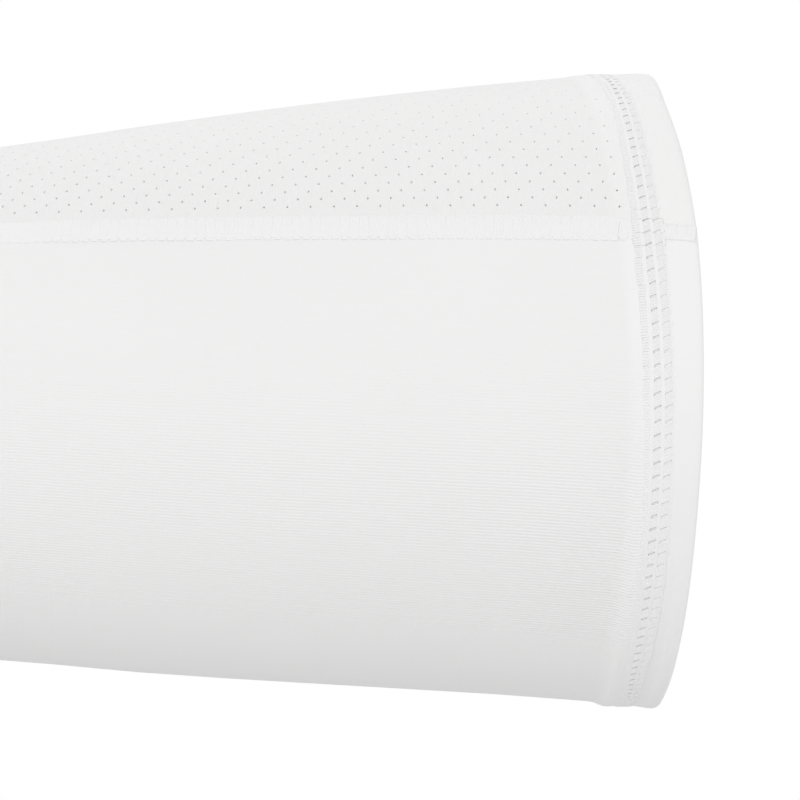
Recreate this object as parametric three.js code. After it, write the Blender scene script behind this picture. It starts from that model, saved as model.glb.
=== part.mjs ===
// Arm compression sleeve in the shape that it has when worn, in millimetres.
// +X runs along the sleeve to the upper-arm opening and +Z is up, with the perforated mesh panel on top.
// The origin is the centre of the upper-arm opening's rim.
// Two knit panels are joined by two flatlock seams, and both ends are folded in and held by a coverstitch.
import * as THREE from "three";

// Outer sizes of the sleeve, measured where each hem meets the panels
const SLEEVE_LENGTH = 400;
const UPPER_HEIGHT = 112.4;
const UPPER_DEPTH = 110;
const WRIST_HEIGHT = 54.4;
const WRIST_DEPTH = 52.2;
const WRIST_DROP = 5.2; // the wrist's centre lies this far below the upper opening's

// Cloth and sewing
const WALL = 1.0; // thickness of both knits
const CLEARANCE = 0.3; // gap between sewn pieces
const SEAM_WIDTH = 5.0;
const SEAM_PROUD = 0.4; // the flatlock threads stand this far out of the cloth on both sides
const UPPER_SEAM_ANGLE = 61.6; // degrees from the top of the section
const WRIST_SEAM_ANGLE = 39;
const SEAM_KINK = 1.4; // degrees by which a seam turns down across the upper hem

// Hems: the cloth's end is folded in and stitched down, in the same way at both openings
const UPPER_RISE = 1.2; // the doubled cloth stands this far out of the single cloth
const WRIST_RISE = 0.7;
const FOLD_NOSE = 1.2; // length of the rounded rim
const FOLD_PUFF = 0.3; // swell of the fold beyond two flat walls
const STITCH_START = 4.3; // from the rim to the coverstitch
const STITCH_WIDTH = 5.0;
const STITCH_SINK = 0.5; // the threads pull the cloth in by this much
const STITCH_THICKNESS = 0.35;
const STITCH_CROWN = 0.15;
const EDGE_BEYOND = 3.1; // the folded-in end reaches this far beyond the stitches
const RIDGE_HEIGHT = 0.2; // it pushes a low ridge out beside the stitches
const HEM_MARGIN = 1.6; // single cloth between the folded-in end and where the panel begins

const LEAN_FADE = 56; // length of panel over which the lean of the upper hem dies out

// Fineness of the surfaces
const PANEL_ROWS = 18;
const KNIT_STEPS = 40;
const MESH_STEPS = 20;
const SEAM_STEPS = 2;
const UPPER_RING_STEPS = 60;
const WRIST_RING_STEPS = 44;
const NOSE_STEPS = 4;

// The panels from the upper hem to the wrist hem. girth goes from 1, the upper size, to 0, the wrist size;
// drop is a share of WRIST_DROP; seam goes from 1, the upper seam angle, to 0, the wrist one.
const PANEL_SECTIONS = [
  { along: 0.0, girth: 1.0, drop: -0.047, seam: 1.0 },
  { along: 0.04, girth: 0.953, drop: -0.03, seam: 0.95 },
  { along: 0.12, girth: 0.859, drop: 0.085, seam: 0.845 },
  { along: 0.2, girth: 0.75, drop: 0.28, seam: 0.695 },
  { along: 0.28, girth: 0.621, drop: 0.446, seam: 0.51 },
  { along: 0.37, girth: 0.516, drop: 0.62, seam: 0.3 },
  { along: 0.46, girth: 0.462, drop: 0.77, seam: 0.145 },
  { along: 0.57, girth: 0.448, drop: 0.885, seam: 0.04 },
  { along: 0.69, girth: 0.358, drop: 0.96, seam: 0.0 },
  { along: 0.82, girth: 0.19, drop: 1.0, seam: 0.0 },
  { along: 0.94, girth: 0.052, drop: 1.0, seam: 0.0 },
  { along: 1.0, girth: 0.0, drop: 1.0, seam: 0.0 },
];

// A hem from its rim to the panel: how much of the rise its top and its bottom have
const HEM_SECTIONS = [
  { along: 0.0, top: 0.56, bottom: 1.1 },
  { along: 0.3, top: 0.77, bottom: 1.02 },
  { along: 0.5, top: 0.7, bottom: 0.96 },
  { along: 0.61, top: 0.57, bottom: 0.9 },
  { along: 0.72, top: 0.41, bottom: 0.75 },
  { along: 0.82, top: 0.26, bottom: 0.29 },
  { along: 0.93, top: 0.1, bottom: 0.08 },
  { along: 1.0, top: 0.0, bottom: 0.0 },
];

// The upper opening isn't quite square to the arm: its rim and its stitched hem are set back by these lengths,
// from the bottom of the opening (along 0) to its top (along 1).
const SET_BACKS = [
  { along: 0.0, rim: -1.9, hem: -2.3 },
  { along: 0.02, rim: -0.9, hem: -1.5 },
  { along: 0.06, rim: -0.3, hem: -0.4 },
  { along: 0.13, rim: 0.1, hem: 0.1 },
  { along: 0.3, rim: 0.3, hem: 0.5 },
  { along: 0.5, rim: 0.0, hem: 0.6 },
  { along: 0.72, rim: -0.2, hem: 1.2 },
  { along: 0.86, rim: 0.3, hem: 1.6 },
  { along: 0.94, rim: 0.7, hem: 1.6 },
  { along: 0.98, rim: 0.1, hem: 1.9 },
  { along: 1.0, rim: -0.8, hem: 2.3 },
];

// Distances from a rim, and the station where the wrist hem meets the panels
const STITCH_END = STITCH_START + STITCH_WIDTH;
const ALLOWANCE = STITCH_END + EDGE_BEYOND;
const HEM = ALLOWANCE + HEM_MARGIN;
const WRIST_HEM_STATION = SLEEVE_LENGTH - HEM;

const { lerp, degToRad, clamp, smoothstep } = THREE.MathUtils;

// Value of a table's column at a share along it, on a smooth curve through the rows
function readColumn(rows, along, column) {
  const last = rows.length - 1;
  let i = 0;
  while (i < last - 1 && along > rows[i + 1].along) i += 1;
  const slopeAt = (row) => {
    const before = rows[Math.max(row - 1, 0)];
    const after = rows[Math.min(row + 1, last)];
    return (after[column] - before[column]) / (after.along - before.along);
  };
  const span = rows[i + 1].along - rows[i].along;
  const t = (along - rows[i].along) / span;
  const rise = t * t * (3 - 2 * t);
  const leave = t * (1 - t) * (1 - t) * span * slopeAt(i);
  const arrive = t * t * (t - 1) * span * slopeAt(i + 1);
  return lerp(rows[i][column], rows[i + 1][column], rise) + leave + arrive;
}

// The sleeve's section at a station, which is measured from the upper rim along the sleeve
function sectionAt(station) {
  const panelLength = WRIST_HEM_STATION - HEM;
  const along = clamp((station - HEM) / panelLength, 0, 1);
  const girth = readColumn(PANEL_SECTIONS, along, "girth");
  const section = {
    halfHeight: lerp(WRIST_HEIGHT, UPPER_HEIGHT, girth) / 2,
    halfDepth: lerp(WRIST_DEPTH, UPPER_DEPTH, girth) / 2,
    centre: -WRIST_DROP * readColumn(PANEL_SECTIONS, along, "drop"),
    seamAngle: lerp(WRIST_SEAM_ANGLE, UPPER_SEAM_ANGLE, readColumn(PANEL_SECTIONS, along, "seam")),
  };
  if (station >= HEM && station <= WRIST_HEM_STATION) return section;
  const inUpperHem = station < HEM;
  const fromRim = inUpperHem ? station / HEM : (SLEEVE_LENGTH - station) / HEM;
  const rise = inUpperHem ? UPPER_RISE : WRIST_RISE;
  const top = rise * readColumn(HEM_SECTIONS, fromRim, "top");
  const bottom = rise * readColumn(HEM_SECTIONS, fromRim, "bottom");
  section.halfHeight += (top + bottom) / 2;
  section.halfDepth += (top + bottom) / 2;
  section.centre += (top - bottom) / 2;
  if (inUpperHem) section.seamAngle += SEAM_KINK * (1 - fromRim);
  return section;
}

// How far the upper end is set back at an angle from the top
function setBack(station, angle) {
  const along = (1 + Math.cos(angle)) / 2;
  const hem = readColumn(SET_BACKS, along, "hem");
  if (station < HEM) return lerp(readColumn(SET_BACKS, along, "rim"), hem, smoothstep(station, 0, HEM / 2));
  return hem * (1 - smoothstep(station, HEM, HEM + LEAN_FADE));
}

// A point of the cloth: angle goes from the top over the near side, lift stands out of the panel's surface
function pointAt(station, angle, lift) {
  const { halfHeight, halfDepth, centre } = sectionAt(station);
  return [
    -station - setBack(station, angle),
    -(halfDepth + lift) * Math.sin(angle),
    centre + (halfHeight + lift) * Math.cos(angle),
  ];
}

// Triangles that fill a wall's outline. They are zipped up from the outline's first point, between the side
// that runs on from it and the side that runs back to it.
function fillOutline(outline) {
  const triangles = [];
  const reach = (i) => Math.abs(outline[i][0] - outline[0][0]);
  let on = 0;
  let back = outline.length - 1;
  while (back - on > 1) {
    if (reach(on + 1) <= reach(back - 1)) {
      triangles.push([on, on + 1, back]);
      on += 1;
    } else {
      triangles.push([on, back - 1, back]);
      back -= 1;
    }
  }
  return triangles;
}

// Sweeps a wall's outline of [station, lift] points round the sleeve. angles(station) gives where it starts
// and ends at that station, and a piece without angles is a whole ring.
function sweep(outline, steps, angles) {
  const positions = [];
  const indices = [];
  const size = outline.length;
  const isRing = angles === undefined;
  const rows = isRing ? steps : steps + 1;
  for (let row = 0; row < rows; row += 1) {
    for (const [station, lift] of outline) {
      const [start, end] = isRing ? [0, 2 * Math.PI] : angles(station);
      positions.push(...pointAt(station, lerp(start, end, row / steps), lift));
    }
  }
  for (let row = 0; row < steps; row += 1) {
    const here = row * size;
    const next = ((row + 1) % rows) * size;
    for (let i = 0; i < size; i += 1) {
      const j = (i + 1) % size;
      indices.push(here + i, here + j, next + j);
      indices.push(here + i, next + j, next + i);
    }
  }
  if (!isRing) {
    const end = steps * size;
    for (const [a, b, c] of fillOutline(outline)) {
      indices.push(a, c, b);
      indices.push(end + a, end + b, end + c);
    }
  }
  const geometry = new THREE.BufferGeometry();
  geometry.setAttribute("position", new THREE.Float32BufferAttribute(positions, 3));
  geometry.setIndex(indices);
  geometry.computeVertexNormals();
  return geometry;
}

// Where the pieces start and end round the section
const seamHalfAngle = (station, margin) => (SEAM_WIDTH / 2 + margin) / sectionAt(station).halfHeight;
const knitAngles = (station) => {
  const start = degToRad(sectionAt(station).seamAngle) + seamHalfAngle(station, CLEARANCE);
  return [start, 2 * Math.PI - start];
};
const meshAngles = (station) => {
  const end = degToRad(sectionAt(station).seamAngle) - seamHalfAngle(station, CLEARANCE);
  return [-end, end];
};
const seamAngles = (side) => (station) => {
  const middle = side * degToRad(sectionAt(station).seamAngle);
  const half = seamHalfAngle(station, 0);
  return [middle - half, middle + half];
};

// Outer line of a hem from its rim to the panel, as [distance from the rim, lift]. The recess takes the
// coverstitch, and proud lifts the line beside the recess.
function hemOuterLine(hem, proud) {
  const ridge = lerp(STITCH_END, ALLOWANCE, 0.3);
  return [
    [FOLD_NOSE, FOLD_PUFF + proud],
    [STITCH_START - CLEARANCE, proud],
    [STITCH_START - CLEARANCE, -STITCH_SINK],
    [STITCH_END + CLEARANCE, -STITCH_SINK],
    [STITCH_END + CLEARANCE, proud],
    [ridge, RIDGE_HEIGHT + proud],
    [ALLOWANCE, proud],
    [hem, proud],
  ];
}

// Inner line of a hem from the panel to its rim: the folded-in end is a second wall
function hemInnerLine(hem, proud) {
  return [
    [hem, -WALL - proud],
    [ALLOWANCE + CLEARANCE, -WALL - proud],
    [ALLOWANCE, -2 * WALL - proud],
    [STITCH_START, -2 * WALL - proud],
    [FOLD_NOSE, -2 * WALL - FOLD_PUFF - proud],
  ];
}

// Steps of the rounded rim, which turns from the inner line (step 0) to the outer line (the last step)
function rimArc(first, last) {
  const line = [];
  for (let step = first; step <= last; step += 1) {
    const turn = (Math.PI * step) / NOSE_STEPS;
    line.push([FOLD_NOSE * (1 - Math.sin(turn)), -WALL - (WALL + FOLD_PUFF) * Math.cos(turn)]);
  }
  return line;
}

const outerRim = () => rimArc(NOSE_STEPS / 2, NOSE_STEPS - 1);
const innerRim = () => rimArc(1, NOSE_STEPS / 2 - 1);

function hemOutline(hem) {
  return [...outerRim(), ...hemOuterLine(hem, 0), ...hemInnerLine(hem, 0), ...innerRim()];
}

// The same outline at the wrist, where distances from the rim run the other way
const atWrist = (outline) => outline.map(([away, lift]) => [SLEEVE_LENGTH - away, lift]).reverse();

const panelStations = Array.from({ length: PANEL_ROWS }, (_, row) =>
  lerp(HEM, WRIST_HEM_STATION, row / (PANEL_ROWS - 1)),
);

function panelOutline() {
  const outer = panelStations.map((station) => [station, 0]);
  const inner = panelStations.map((station) => [station, -WALL]);
  return [...outer, ...inner.reverse()];
}

// A seam runs through both hems and along the panels
function seamOutline() {
  const between = panelStations.slice(1, -1);
  return [
    ...outerRim(),
    ...hemOuterLine(HEM, SEAM_PROUD),
    ...between.map((station) => [station, SEAM_PROUD]),
    ...atWrist([...outerRim(), ...hemOuterLine(HEM, SEAM_PROUD)]),
    ...atWrist([...hemInnerLine(HEM, SEAM_PROUD), ...innerRim()]),
    ...between.map((station) => [station, -WALL - SEAM_PROUD]).reverse(),
    ...hemInnerLine(HEM, SEAM_PROUD),
    ...innerRim(),
  ];
}

function coverstitchOutline() {
  const base = CLEARANCE - STITCH_SINK;
  const edge = base + STITCH_THICKNESS - STITCH_CROWN;
  return [
    [STITCH_START, base],
    [STITCH_START, edge],
    [STITCH_START + STITCH_WIDTH / 2, base + STITCH_THICKNESS],
    [STITCH_END, edge],
    [STITCH_END, base],
  ];
}

const knit = () => new THREE.MeshStandardMaterial({ color: 0xefefee, roughness: 0.85, metalness: 0 });
const mesh = () => new THREE.MeshStandardMaterial({ color: 0xf1f1f0, roughness: 0.8, metalness: 0 });
const thread = () => new THREE.MeshStandardMaterial({ color: 0xf6f6f5, roughness: 0.65, metalness: 0 });

const sleeve = new THREE.Group();
sleeve.name = "arm_sleeve";

function addPiece(name, geometry, material) {
  const piece = new THREE.Mesh(geometry, material);
  piece.name = name;
  sleeve.add(piece);
}

const upperHem = hemOutline(HEM - CLEARANCE);
const wristHem = atWrist(upperHem);
addPiece("main_panel", sweep(panelOutline(), KNIT_STEPS, knitAngles), knit());
addPiece("mesh_panel", sweep(panelOutline(), MESH_STEPS, meshAngles), mesh());
addPiece("front_seam", sweep(seamOutline(), SEAM_STEPS, seamAngles(1)), thread());
addPiece("back_seam", sweep(seamOutline(), SEAM_STEPS, seamAngles(-1)), thread());
addPiece("upper_hem_knit", sweep(upperHem, KNIT_STEPS, knitAngles), knit());
addPiece("upper_hem_mesh", sweep(upperHem, MESH_STEPS, meshAngles), mesh());
addPiece("upper_coverstitch", sweep(coverstitchOutline(), UPPER_RING_STEPS), thread());
addPiece("wrist_hem_knit", sweep(wristHem, KNIT_STEPS, knitAngles), knit());
addPiece("wrist_hem_mesh", sweep(wristHem, MESH_STEPS, meshAngles), mesh());
addPiece("wrist_coverstitch", sweep(atWrist(coverstitchOutline()), WRIST_RING_STEPS), thread());

export default sleeve;
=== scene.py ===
# %% [markdown]
# # Arm compression sleeve
# The CAD model gives the frame: two knit panels, two flatlock seams, and a folded, coverstitched hem at
# each end. This notebook dresses each of them as cloth and thread, in the same place and to the same
# sizes. Lengths are worked out in millimetres and turned to metres where a mesh is made.

import math

import bpy
import numpy as np
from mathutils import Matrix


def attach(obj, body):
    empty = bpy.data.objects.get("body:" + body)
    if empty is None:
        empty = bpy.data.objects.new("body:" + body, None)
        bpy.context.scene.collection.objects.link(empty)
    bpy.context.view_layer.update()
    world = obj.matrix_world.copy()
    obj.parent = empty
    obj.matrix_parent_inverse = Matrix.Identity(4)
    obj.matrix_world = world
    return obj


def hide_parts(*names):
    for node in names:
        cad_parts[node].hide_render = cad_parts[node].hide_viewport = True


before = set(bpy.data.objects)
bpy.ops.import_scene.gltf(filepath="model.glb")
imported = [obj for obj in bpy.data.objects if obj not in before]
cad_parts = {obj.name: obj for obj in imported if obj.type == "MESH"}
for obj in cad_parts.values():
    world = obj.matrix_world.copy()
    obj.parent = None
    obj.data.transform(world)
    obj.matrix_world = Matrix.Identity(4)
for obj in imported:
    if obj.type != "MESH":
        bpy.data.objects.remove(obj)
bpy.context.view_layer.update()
MM = 0.001

# %% [markdown]
# ## The sleeve's own sizes
# These are the sizes that the CAD solids were built from. The real sleeve is cut flat and sewn into a
# tapered tube, so its shape is a section that changes along the arm: one table for the panels and one for
# the hems.

# %%
SLEEVE_LENGTH = 400
UPPER_HEIGHT, UPPER_DEPTH = 112.4, 110
WRIST_HEIGHT, WRIST_DEPTH = 54.4, 52.2
WRIST_DROP = 5.2
WALL = 1.0
SEAM_WIDTH = 5.0
UPPER_SEAM_ANGLE, WRIST_SEAM_ANGLE, SEAM_KINK = 61.6, 39, 1.4
UPPER_RISE, WRIST_RISE = 1.2, 0.7
FOLD_NOSE, FOLD_PUFF = 1.2, 0.2
STITCH_START, STITCH_WIDTH = 4.3, 5.0
EDGE_BEYOND, HEM_MARGIN = 3.1, 1.6
LEAN_FADE = 56

STITCH_END = STITCH_START + STITCH_WIDTH
STITCH_MIDDLE = STITCH_START + STITCH_WIDTH / 2
ALLOWANCE = STITCH_END + EDGE_BEYOND
HEM = ALLOWANCE + HEM_MARGIN
WRIST_HEM_STATION = SLEEVE_LENGTH - HEM


def table(columns, rows):
    """A short table as a dict of named columns."""
    return dict(zip(columns.split(), np.array(rows, float).T))


# girth goes from 1, the upper size, to 0, the wrist size. drop is a share of WRIST_DROP.
PANEL_SECTIONS = table(
    "along girth drop seam",
    [
        (0.00, 1.000, -0.047, 1.000),
        (0.04, 0.953, -0.030, 0.950),
        (0.12, 0.859, 0.085, 0.845),
        (0.20, 0.750, 0.280, 0.695),
        (0.28, 0.621, 0.446, 0.510),
        (0.37, 0.516, 0.620, 0.300),
        (0.46, 0.462, 0.770, 0.145),
        (0.57, 0.448, 0.885, 0.040),
        (0.69, 0.358, 0.960, 0.000),
        (0.82, 0.190, 1.000, 0.000),
        (0.94, 0.052, 1.000, 0.000),
        (1.00, 0.000, 1.000, 0.000),
    ],
)
# From a rim to the panel: how much of the hem's rise its top and its bottom have
HEM_SECTIONS = table(
    "along top bottom",
    [
        (0.00, 0.56, 1.10),
        (0.30, 0.77, 1.02),
        (0.50, 0.70, 0.96),
        (0.61, 0.57, 0.90),
        (0.72, 0.41, 0.75),
        (0.82, 0.26, 0.29),
        (0.93, 0.10, 0.08),
        (1.00, 0.00, 0.00),
    ],
)
# How far the upper rim and the stitch line are set back, from the bottom of the opening (0) to its top (1)
SET_BACKS = table(
    "along rim hem",
    [
        (0.00, -1.9, -2.3),
        (0.02, -0.9, -1.5),
        (0.06, -0.3, -0.4),
        (0.13, 0.1, 0.1),
        (0.30, 0.3, 0.5),
        (0.50, 0.0, 0.6),
        (0.72, -0.2, 1.2),
        (0.86, 0.3, 1.6),
        (0.94, 0.7, 1.6),
        (0.98, 0.1, 1.9),
        (1.00, -0.8, 2.3),
    ],
)
print("the hem is", round(HEM, 1), "mm deep, and its stitches run from", STITCH_START, "to", STITCH_END, "mm")

# %% [markdown]
# ## From a flat place on the cloth to a point in space
# Every piece lies on the same surface, so all of them use one function. It takes a station, measured from
# the upper rim, an angle from the top over the near side, and a lift out of the cloth's surface.


# %%
def lerp(start, end, share):
    return start + (end - start) * share


def smoothstep(value, low, high):
    share = np.clip((value - low) / (high - low), 0, 1)
    return share * share * (3 - 2 * share)


def read_column(rows, column, along):
    """A table's column on a smooth curve through its rows."""
    x, y = rows["along"], rows[column]
    slopes = np.empty_like(y)
    slopes[1:-1] = (y[2:] - y[:-2]) / (x[2:] - x[:-2])
    slopes[0] = (y[1] - y[0]) / (x[1] - x[0])
    slopes[-1] = (y[-1] - y[-2]) / (x[-1] - x[-2])
    i = np.clip(np.searchsorted(x, along, side="left") - 1, 0, len(x) - 2)
    span = x[i + 1] - x[i]
    t = (along - x[i]) / span
    leave = t * (1 - t) ** 2 * span * slopes[i]
    arrive = t * t * (t - 1) * span * slopes[i + 1]
    return lerp(y[i], y[i + 1], t * t * (3 - 2 * t)) + leave + arrive


def section_at(station):
    """Half height, half depth, height of the centre and seam angle of the sleeve at a station."""
    station = np.asarray(station, float)
    along = np.clip((station - HEM) / (WRIST_HEM_STATION - HEM), 0, 1)
    girth = read_column(PANEL_SECTIONS, "girth", along)
    from_rim = np.clip(np.minimum(station, SLEEVE_LENGTH - station) / HEM, 0, 1)
    rise = np.where(station < SLEEVE_LENGTH / 2, UPPER_RISE, WRIST_RISE)
    top = rise * read_column(HEM_SECTIONS, "top", from_rim)
    bottom = rise * read_column(HEM_SECTIONS, "bottom", from_rim)
    half_height = lerp(WRIST_HEIGHT, UPPER_HEIGHT, girth) / 2 + (top + bottom) / 2
    half_depth = lerp(WRIST_DEPTH, UPPER_DEPTH, girth) / 2 + (top + bottom) / 2
    centre = -WRIST_DROP * read_column(PANEL_SECTIONS, "drop", along) + (top - bottom) / 2
    seam = lerp(WRIST_SEAM_ANGLE, UPPER_SEAM_ANGLE, read_column(PANEL_SECTIONS, "seam", along))
    seam = seam + np.where(station < HEM, SEAM_KINK * (1 - from_rim), 0)
    return half_height, half_depth, centre, np.radians(seam)


def set_back(station, angle):
    """How far the upper end's rim and stitch line are set back at an angle from the top."""
    along = (1 + np.cos(angle)) / 2
    hem = read_column(SET_BACKS, "hem", along)
    in_hem = lerp(read_column(SET_BACKS, "rim", along), hem, smoothstep(station, 0, HEM / 2))
    return np.where(station < HEM, in_hem, hem * (1 - smoothstep(station, HEM, HEM + LEAN_FADE)))


# A hem bulges low down: lift by distance from the rim, and how much of it shows from bottom (0) to top (1)
HEM_BULGE = table(
    "along lift",
    [
        (0.0, 0.00),
        (1.4, 0.10),
        (2.2, 0.12),
        (3.3, -0.20),
        (4.2, -0.12),
        (5.0, 0.00),
        (8.0, 0.00),
        (9.2, 0.22),
        (10.3, 0.50),
        (11.4, 0.34),
        (12.8, 0.04),
        (14.0, 0.00),
    ],
)
BULGE_SHARE = table(
    "along share",
    [
        (0.00, 0.10),
        (0.02, 0.60),
        (0.06, 1.00),
        (0.14, 0.90),
        (0.24, 0.40),
        (0.36, 0.10),
        (0.50, 0.05),
        (0.90, 0.05),
        (1.00, 0.00),
    ],
)


def bulge(station, angle):
    """Extra lift of the whole wall in a hem, most of it on the underside."""
    from_rim = np.clip(np.minimum(station, SLEEVE_LENGTH - np.asarray(station, float)), 0, HEM)
    share = read_column(BULGE_SHARE, "share", (1 + np.cos(angle)) / 2)
    return read_column(HEM_BULGE, "lift", from_rim) * share


def cloth_point(station, angle, lift):
    """Points in millimetres, as an array with a last axis of three."""
    half_height, half_depth, centre, _ = section_at(station)
    lift = lift + bulge(station, angle)
    x = -station - set_back(station, angle)
    y = -(half_depth + lift) * np.sin(angle)
    z = centre + (half_height + lift) * np.cos(angle)
    return np.stack(np.broadcast_arrays(x, y, z), axis=-1)


SEAM_SHARE_ON_HEM = 0.62
BUTT_OVERLAP = 0.25


def seam_half_width(station):
    """The flatlock band is narrower where it was folded into the hem."""
    from_rim = np.minimum(station, SLEEVE_LENGTH - station)
    share = lerp(SEAM_SHARE_ON_HEM, 1, smoothstep(from_rim, STITCH_MIDDLE, ALLOWANCE))
    return SEAM_WIDTH / 2 * share


def cloth_angles(station, is_knit):
    """Where a panel starts and ends round the section: its edges run a little under the two seams."""
    half_height, _, _, seam = section_at(station)
    half = (seam_half_width(station) - BUTT_OVERLAP) / half_height
    if is_knit:
        return seam + half, 2 * math.pi - seam - half
    return half - seam, seam - half


def mesh_object(name, vertices, faces, smooth=True):
    """A mesh object from vertices in millimetres."""
    mesh = bpy.data.meshes.new(name)
    mesh.from_pydata((np.asarray(vertices) * MM).tolist(), [], faces)
    mesh.polygons.foreach_set("use_smooth", [smooth] * len(mesh.polygons))
    mesh.update()
    made = bpy.data.objects.new(name, mesh)
    bpy.context.scene.collection.objects.link(made)
    return made


def triangles_of(piece):
    """How many triangles a mesh object has."""
    return sum(len(polygon.vertices) - 2 for polygon in piece.data.polygons)


print("upper rim is", np.round(cloth_point(0, 0, 0), 2), "at the top")

# %% [markdown]
# ## The relief of a hem
# The threads pull the doubled cloth in along three needle rows, the fold puffs out between them and the
# rim, and the raw edge inside pushes out a low ridge. A short table gives the lift at each distance from
# the rim.

# %%
HEM_RELIEF = table(
    "along lift",
    [
        (1.2, 0.20),
        (2.4, 0.12),
        (3.6, -0.02),
        (4.6, -0.14),
        (5.7, -0.13),
        (6.8, -0.14),
        (7.9, -0.11),
        (8.7, -0.08),
        (9.5, 0.02),
        (10.6, 0.10),
        (11.6, 0.06),
        (12.6, 0.01),
        (14.0, 0.00),
    ],
)


def relief(station):
    """Lift of the cloth's outer surface at a station, zero on the panels."""
    from_rim = np.minimum(station, SLEEVE_LENGTH - station)
    return read_column(HEM_RELIEF, "lift", np.clip(from_rim, FOLD_NOSE, HEM))


def rim_arc(steps):
    """The rounded rim from the inner line to the outer one, as (distance from the rim, lift)."""
    turn = np.linspace(0, math.pi, steps + 1)
    return FOLD_NOSE * (1 - np.sin(turn)), -WALL - (WALL + FOLD_PUFF) * np.cos(turn)


print("needle rows are pulled in by", round(-float(relief(STITCH_MIDDLE)), 2), "mm")


# %% [markdown]
# ## Sweeping a closed wall
# A hem or a seam is a closed outline of (station, lift) points that runs round the arm. The outline is
# dense where the relief needs it. Both ends are closed by triangles zipped up from the rim's tip, as the
# cloth's cut edge.


# %%
def zipped(stations):
    """Triangles that fill a closed outline, between its two sides, from its first point to its far end."""
    reach = np.abs(stations - stations[0])
    triangles, on, back = [], 0, len(stations) - 1
    while back - on > 1:
        if reach[on + 1] <= reach[back - 1]:
            triangles.append((on, on + 1, back))
            on += 1
        else:
            triangles.append((on, back - 1, back))
            back -= 1
    return triangles


def swept_wall(name, stations, points):
    """A closed wall from points given as an array of columns round the arm by places along the outline."""
    columns, size = points.shape[0] - 1, points.shape[1]
    here = np.arange(columns)[:, None] * size + np.arange(size)[None, :]
    after = np.arange(columns)[:, None] * size + np.roll(np.arange(size), -1)[None, :]
    quads = np.stack([here, after, after + size, here + size], axis=-1).reshape(-1, 4)
    last = columns * size
    caps = []
    for a, b, c in zipped(stations):
        caps += [(a, c, b), (last + a, last + b, last + c)]
    piece = mesh_object(name, points.reshape(-1, 3), quads.tolist() + caps)
    piece.data.polygons.foreach_set("use_smooth", [True] * len(quads) + [False] * len(caps))
    return piece


def store(piece, name, values, kind="FLOAT", domain="POINT"):
    """Stores a value for each vertex or face under a name that node trees can read."""
    layer = piece.data.attributes.new(name, kind, domain)
    field = "vector" if kind == "FLOAT_VECTOR" else "value"
    layer.data.foreach_set(field, np.asarray(values, bool if kind == "BOOLEAN" else np.float32).ravel())


def cloth_coordinates(piece, across, along):
    """UV map of the flat cloth in metres, from each vertex's place across and along it in millimetres."""
    flat = np.stack([across, along], axis=-1) * MM
    corners = np.empty(len(piece.data.loops), np.int32)
    piece.data.loops.foreach_get("vertex_index", corners)
    layer = piece.data.uv_layers.new(name="cloth")
    layer.uv.foreach_set("vector", flat[corners].astype(np.float32).ravel())


def arc_width(station, is_knit):
    """Width of a panel round the section, in millimetres."""
    start, end = cloth_angles(station, is_knit)
    angle = np.linspace(float(start), float(end), 400)
    steps = np.diff(cloth_point(station, angle, 0.0), axis=0)
    return float(np.linalg.norm(steps, axis=1).sum())


hem_widths = [round(arc_width(HEM, is_knit), 1) for is_knit in (True, False)]
print("ribbed knit and mesh round at the hem in mm:", hem_widths)


# %% [markdown]
# ## Node trees
# Everything that repeats is made by Geometry Nodes: the knit's ribs, the holes of the mesh and every
# stitch. A few helpers build a tree with named inputs, give its inputs their values and turn the result
# into a plain mesh.


# %%
def node_tree(name, inputs):
    """An empty geometry tree with named inputs, what its input node gives, and its output node."""
    tree = bpy.data.node_groups.new(name, "GeometryNodeTree")
    tree.interface.new_socket("Geometry", in_out="OUTPUT", socket_type="NodeSocketGeometry")
    tree.interface.new_socket("Geometry", in_out="INPUT", socket_type="NodeSocketGeometry")
    for label, kind in inputs:
        tree.interface.new_socket(label, in_out="INPUT", socket_type="NodeSocket" + kind)
    return tree, tree.nodes.new("NodeGroupInput").outputs, tree.nodes.new("NodeGroupOutput")


def add_node(tree, kind, settings=None, **inputs):
    """A node with its settings and inputs. An input is a plain value, a socket, or a node's first output."""
    node = tree.nodes.new(kind)
    for setting, value in (settings or {}).items():
        setattr(node, setting, value)
    for label, value in inputs.items():
        socket = socket_named(node, label)
        if isinstance(value, bpy.types.Node):
            value = first_output(value)
        if isinstance(value, bpy.types.NodeSocket):
            tree.links.new(value, socket)
        else:
            socket.default_value = value
    return node


def socket_named(node, label):
    """An input by name with underscores for spaces, or the n-th input for the label n0, n1 and so on."""
    if label[0] == "n" and label[1:].isdigit():
        return node.inputs[int(label[1:])]
    wanted = label.replace("_", " ").lower()
    live = [socket for socket in node.inputs if socket.name.lower() == wanted and socket.enabled]
    return live[0]


def first_output(node):
    return [socket for socket in node.outputs if socket.enabled][0]


def maths(tree, operation, first, second=0.0):
    return add_node(tree, "ShaderNodeMath", {"operation": operation}, n0=first, n1=second).outputs[0]


def attribute(tree, name, kind="FLOAT"):
    """A named attribute's value inside a geometry tree."""
    return first_output(add_node(tree, "GeometryNodeInputNamedAttribute", {"data_type": kind}, Name=name))


def random_value(tree, low, high, seed, **inputs):
    """A random number between two values for each point, rib or stitch."""
    inputs.update(Min=low, Max=high, Seed=seed)
    return add_node(tree, "FunctionNodeRandomValue", {"data_type": "FLOAT"}, **inputs)


def finish_tree(tree, given, output, geometry):
    """Every tree ends in Realize Instances and Set Material."""
    real = add_node(tree, "GeometryNodeRealizeInstances", Geometry=geometry)
    painted = add_node(tree, "GeometryNodeSetMaterial", Geometry=real, Material=given["Material"])
    tree.links.new(painted.outputs[0], output.inputs[0])
    return tree


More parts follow.
